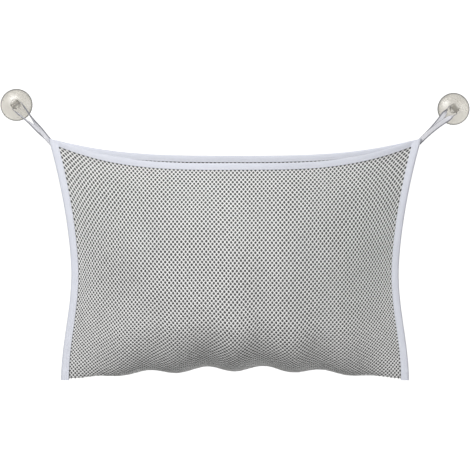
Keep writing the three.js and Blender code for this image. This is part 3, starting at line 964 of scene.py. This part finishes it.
def mix_colours(tree, factor, first, second):
    mix = add_node(tree, "ShaderNodeMix", {"Factor": factor}, data_type="RGBA")
    ends = [socket for socket in mix.inputs if socket.type == "RGBA"]
    for socket, colour in zip(ends, (first, second)):
        if isinstance(colour, bpy.types.NodeSocket):
            tree.links.new(colour, socket)
        else:
            socket.default_value = (*colour, 1)
    return next(socket for socket in mix.outputs if socket.type == "RGBA")


def add_noise(tree, vector, scale, detail):
    inputs = {"Vector": vector, "Scale": scale, "Detail": detail}
    return add_node(tree, "ShaderNodeTexNoise", inputs).outputs["Fac"]


# Noise, and a colour that wanders with it between two shades
def mottle(tree, vector, scale, shades):
    noise = add_noise(tree, vector, scale, MOTTLE_DETAIL)
    return noise, mix_colours(tree, noise, *shades)


def add_bump(tree, shader, height, strength, distance):
    inputs = {"Strength": strength, "Distance": distance, "Height": height}
    bump = add_node(tree, "ShaderNodeBump", inputs)
    tree.links.new(bump.outputs["Normal"], shader.inputs["Normal"])


# Plain weave read from a piece's map, with painted shade along the edges where an edge width is given
def woven_material(name, shades, weave, roughness=CLOTH_ROUGHNESS, edge=None):
    material, tree, shader = new_material(name, roughness)
    uv = add_node(tree, "ShaderNodeUVMap", uv_map="Weave").outputs[0]
    along, across, _ = add_node(tree, "ShaderNodeSeparateXYZ", {0: uv}).outputs
    weft = math_node(tree, "SINE", math_node(tree, "MULTIPLY", along, 2 * math.pi / weave[0]))
    warp = math_node(tree, "SINE", math_node(tree, "MULTIPLY", across, 2 * math.pi / weave[1]))
    _, colour = mottle(tree, uv, CLOTH_MOTTLE, shades)
    if edge:
        # Painted shade: a dark grey stripe over each strap edge, standing in for the edge in shade
        from_edge = math_node(tree, "MODULO", math_node(tree, "ADD", across, EDGE_SHADE_OVERLAP), edge)
        edge_shade = math_node(tree, "LESS_THAN", from_edge, 2 * EDGE_SHADE_OVERLAP + STRAP_THICKNESS)
        colour = mix_colours(tree, edge_shade, colour, STRAP_EDGE_SHADE)
    tree.links.new(colour, shader.inputs["Base Color"])
    add_bump(tree, shader, math_node(tree, "MULTIPLY", weft, warp), *CLOTH_BUMP)
    shader.inputs["Sheen Weight"].default_value = CLOTH_SHEEN
    return material


def net_material():
    material, tree, shader = new_material("netting", NET_ROUGHNESS)
    place = add_node(tree, "ShaderNodeTexCoord").outputs["Object"]
    _, colour = mottle(tree, place, NET_MOTTLE, NET_SHADES)
    tree.links.new(colour, shader.inputs["Base Color"])
    add_bump(tree, shader, add_noise(tree, place, YARN_SCALE, YARN_DETAIL), *YARN_BUMP)
    return material


# Clear plastic with painted shade: its colour turns dark grey along the rim, for the dark edge where
# light leaves it sideways
def clear_material():
    smooth, dull = CUP_ROUGHNESS
    material, tree, shader = new_material("clear_pvc", smooth)
    place = add_node(tree, "ShaderNodeTexCoord").outputs["Object"]
    noise, colour = mottle(tree, place, CUP_MOTTLE, CUP_SHADES)
    section = add_node(tree, "ShaderNodeUVMap", uv_map="Section").outputs[0]
    radius = add_node(tree, "ShaderNodeSeparateXYZ", {0: section}).outputs[0]
    # Painted shade: the colour goes over to dark grey towards the rim
    shade_start, shade_end = CUP_RADIUS - RIM_SHADE, CUP_RADIUS - RIM_ROUNDING
    rim_range = {"Value": radius, "From Min": shade_start, "From Max": shade_end}
    rim = add_node(tree, "ShaderNodeMapRange", rim_range).outputs[0]
    tree.links.new(mix_colours(tree, rim, colour, RIM_PAINTED_SHADE), shader.inputs["Base Color"])
    spread = add_node(tree, "ShaderNodeMapRange", {"Value": noise, "To Min": smooth, "To Max": dull})
    tree.links.new(spread.outputs[0], shader.inputs["Roughness"])
    add_bump(tree, shader, add_noise(tree, place, RIPPLE_SCALE, RIPPLE_DETAIL), *RIPPLE_BUMP)
    shader.inputs["Transmission Weight"].default_value = CUP_CLEARNESS
    shader.inputs["IOR"].default_value = CUP_IOR
    return material


# 1 for a ray from the camera, also by way of gloss or clear plastic
def seen_ray(tree, ray):
    seen = math_node(tree, "MAXIMUM", ray["Is Camera Ray"], ray["Is Glossy Ray"])
    return math_node(tree, "MAXIMUM", seen, ray["Is Transmission Ray"])


# Matte paint on one side. From behind it lets through a share of what is seen, and it casts no shadow.
def stage_material(name, paint, seen_paint, glow, clear_share=1.0):
    material, tree, shader = new_material(name, STAGE_ROUGHNESS)
    shader.inputs["Specular IOR Level"].default_value = 0.0
    shader.inputs["Emission Color"].default_value = (1, 1, 1, 1)
    ray = add_node(tree, "ShaderNodeLightPath").outputs
    seen = seen_ray(tree, ray)
    colour = add_node(tree, "ShaderNodeMapRange", {"Value": seen, "To Min": paint, "To Max": seen_paint})
    tree.links.new(colour.outputs[0], shader.inputs["Base Color"])
    tree.links.new(math_node(tree, "MULTIPLY", seen, glow), shader.inputs["Emission Strength"])
    back = add_node(tree, "ShaderNodeNewGeometry").outputs["Backfacing"]
    hidden = math_node(tree, "MAXIMUM", back, ray["Is Shadow Ray"])
    share = add_node(tree, "ShaderNodeMapRange", {"Value": ray["Is Shadow Ray"], "To Min": clear_share})
    clear = add_node(tree, "ShaderNodeBsdfTransparent", {"Color": share.outputs[0]})
    mix = add_node(tree, "ShaderNodeMixShader", {0: hidden, 1: shader.outputs[0], 2: clear.outputs[0]})
    tree.links.new(mix.outputs[0], tree.nodes["Material Output"].inputs["Surface"])
    return material


# Floor that curves up into a backdrop behind the bag
def add_floor():
    section = [(BACKDROP_Y, BACKDROP_TOP)]
    for t in np.linspace(0, math.pi / 2, COVE_POINTS):
        y = BACKDROP_Y - COVE_RADIUS * (1 - math.cos(t))
        section.append((y, FLOOR_Z + COVE_RADIUS * (1 - math.sin(t))))
    section.append((FLOOR_FRONT, FLOOR_Z))
    points = [(x, y, z) for y, z in section for x in (-FLOOR_HALF_WIDTH, FLOOR_HALF_WIDTH)]
    faces = [[2 * k, 2 * k + 2, 2 * k + 3, 2 * k + 1] for k in range(len(section) - 1)]
    paint = stage_material("backdrop", BACKDROP_PAINT, BACKDROP_SEEN_PAINT, BACKDROP_GLOW)
    add_mesh("backdrop", points, faces, paint)


# Sheet over the rows and columns of a grid of points
def add_card(name, grid, material):
    row_count, column_count = grid.shape[:2]
    row, column = np.mgrid[0 : row_count - 1, 0 : column_count - 1]
    above = (row * column_count + column).ravel()
    below = above + column_count
    faces = np.stack([above, below, below + 1, above + 1], axis=1)
    add_mesh(name, grid.reshape(-1, 3), faces.tolist(), material)


# Dark card of painted shade behind each net, glowing faintly where it is seen, in place of the shade
# that fills the meshes of a full bag
def add_shade_cards(lattice, foot_row):
    # Painted shade: a dark paint and a faint glow, with no lamp behind them
    inside = stage_material("front_shade_card", SHADE_CARD_PAINT, SHADE_CARD_PAINT, SHADE_CARD_GLOW, CARD_CLEAR_SHARE)
    outside = stage_material("back_shade_card", SHADE_CARD_PAINT, SHADE_CARD_PAINT, SHADE_CARD_GLOW)
    offset = net_outward(lattice) * (NET_THICKNESS / 2 + CARD_GAP)
    columns = slice(SIDE_COLUMNS - 1, 1 - SIDE_COLUMNS)
    add_card("front_shade_card", (lattice - offset)[HEM_ROWS - 1 : foot_row + 1, columns], inside)
    add_card("back_shade_card", (lattice + offset)[foot_row + 1 : 1 - HEM_ROWS, columns][::-1], outside)


def add_world():
    world = bpy.data.worlds.new("studio")
    bpy.context.scene.world = world
    world.use_nodes = True
    tree = world.node_tree
    seen = seen_ray(tree, add_node(tree, "ShaderNodeLightPath").outputs)
    light_range = {"Value": seen, "To Min": WORLD_LIGHT, "To Max": WORLD_SEEN}
    strength = add_node(tree, "ShaderNodeMapRange", light_range)
    background = tree.nodes["Background"]
    background.inputs["Color"].default_value = (1, 1, 1, 1)
    tree.links.new(strength.outputs[0], background.inputs["Strength"])


# Object for a lamp or camera that looks at the middle of the view
def add_looking(name, data, place):
    looker = bpy.data.objects.new(name, data)
    bpy.context.collection.objects.link(looker)
    looker.location = Vector(place)
    looker.rotation_euler = (Vector(VIEW_CENTRE) - Vector(place)).to_track_quat("-Z", "Y").to_euler()
    return looker


def add_lamp(name, azimuth, elevation, watts):
    data = bpy.data.lights.new(name, "AREA")
    data.shape = "SQUARE"
    data.size = LAMP_SIZE
    data.energy = watts
    a, e = math.radians(azimuth), math.radians(elevation)
    back = np.array([math.sin(a) * math.cos(e), -math.cos(a) * math.cos(e), math.sin(e)])
    lamp = add_looking(name, data, VIEW_CENTRE + back * LAMP_DISTANCE)
    lamp.visible_camera = False


def add_camera():
    data = bpy.data.cameras.new("camera")
    data.sensor_width = SENSOR_WIDTH
    data.lens = SENSOR_WIDTH * CAMERA_DISTANCE / FRAME_WIDTH
    bpy.context.scene.camera = add_looking("camera", data, VIEW_CENTRE + FORWARD * CAMERA_DISTANCE)


bpy.context.scene.view_settings.view_transform = "Standard"
add_camera()
add_floor()
add_world()
for lamp_name, setting in LAMPS.items():
    add_lamp(lamp_name, *setting)

net = net_material()
tape = woven_material("tape", TAPE_SHADES, TAPE_WEAVE)
webbing = woven_material("strap", STRAP_SHADES, STRAP_WEAVE, edge=STRAP_WIDTH)
thread = woven_material("thread", THREAD_SHADES, THREAD_WEAVE, THREAD_ROUGHNESS)
clear_pvc = clear_material()

lattice = net_lattice()
foot_row = HEM_ROWS + FRONT_ROWS
left_line = StrapLine(-1)
right_line = StrapLine(1)
add_shade_cards(lattice, foot_row)
net_front = add_net("net_front", lattice, 0, foot_row, net)
net_back = add_net("net_back", lattice, foot_row + 1, len(lattice), net)
hem_front = add_hem("hem_front", front_mouth_z, front_y, tape)
hem_back = add_hem("hem_back", back_mouth_z, back_y, tape)
side_left = add_side_tape("side_tape_left", -1, tape)
side_right = add_side_tape("side_tape_right", 1, tape)
left_route = strap_route(left_line, LEFT_TWIST, LEFT_TURN, LEFT_PARTING)
right_route = strap_route(right_line, RIGHT_TWIST, RIGHT_TURN, RIGHT_PARTING)
strap_left = add_strap("strap_left", left_route, webbing)
strap_right = add_strap("strap_right", right_route, webbing)
cup_left = add_cup("cup_left", left_line, clear_pvc)
cup_right = add_cup("cup_right", right_line, clear_pvc)

stitches = Stitches()
sewn_reach = reach_past_edge(-HEM_PINCH_LENGTH)
stitches.seam(hem_frames(front_mouth_z, front_y, sewn_reach), HEM_WIDTH, HEM_INSIDE)
stitches.seam(hem_frames(back_mouth_z, back_y, sewn_reach), HEM_WIDTH, HEM_INSIDE)
for side, line in ((-1, left_line), (1, right_line)):
    stitches.seam(side_frames(side), SIDE_TAPE_WIDTH, SIDE_INSIDE)
    stitches.tacks(line)
seams = stitches.add("seam_stitches", thread)

dress(net_front, "bag", "net", "front_net")
dress(net_back, "bag", "net", "back_net")
dress(hem_front, "bag", "tape", "front_hem")
dress(hem_back, "bag", "tape", "back_hem")
dress(side_left, "bag", "tape", "left_side_tape")
dress(side_right, "bag", "tape", "right_side_tape")
dress(seams, "bag", "tape")
dress(cup_left, "left_cup", "clear_pvc", "left_suction_cup")
dress(cup_right, "right_cup", "clear_pvc", "right_suction_cup")
for strap, line, hand in ((strap_left, left_line, "left"), (strap_right, right_line, "right")):
    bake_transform(strap)
    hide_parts(f"{hand}_strap_loop", f"{hand}_strap_tail")
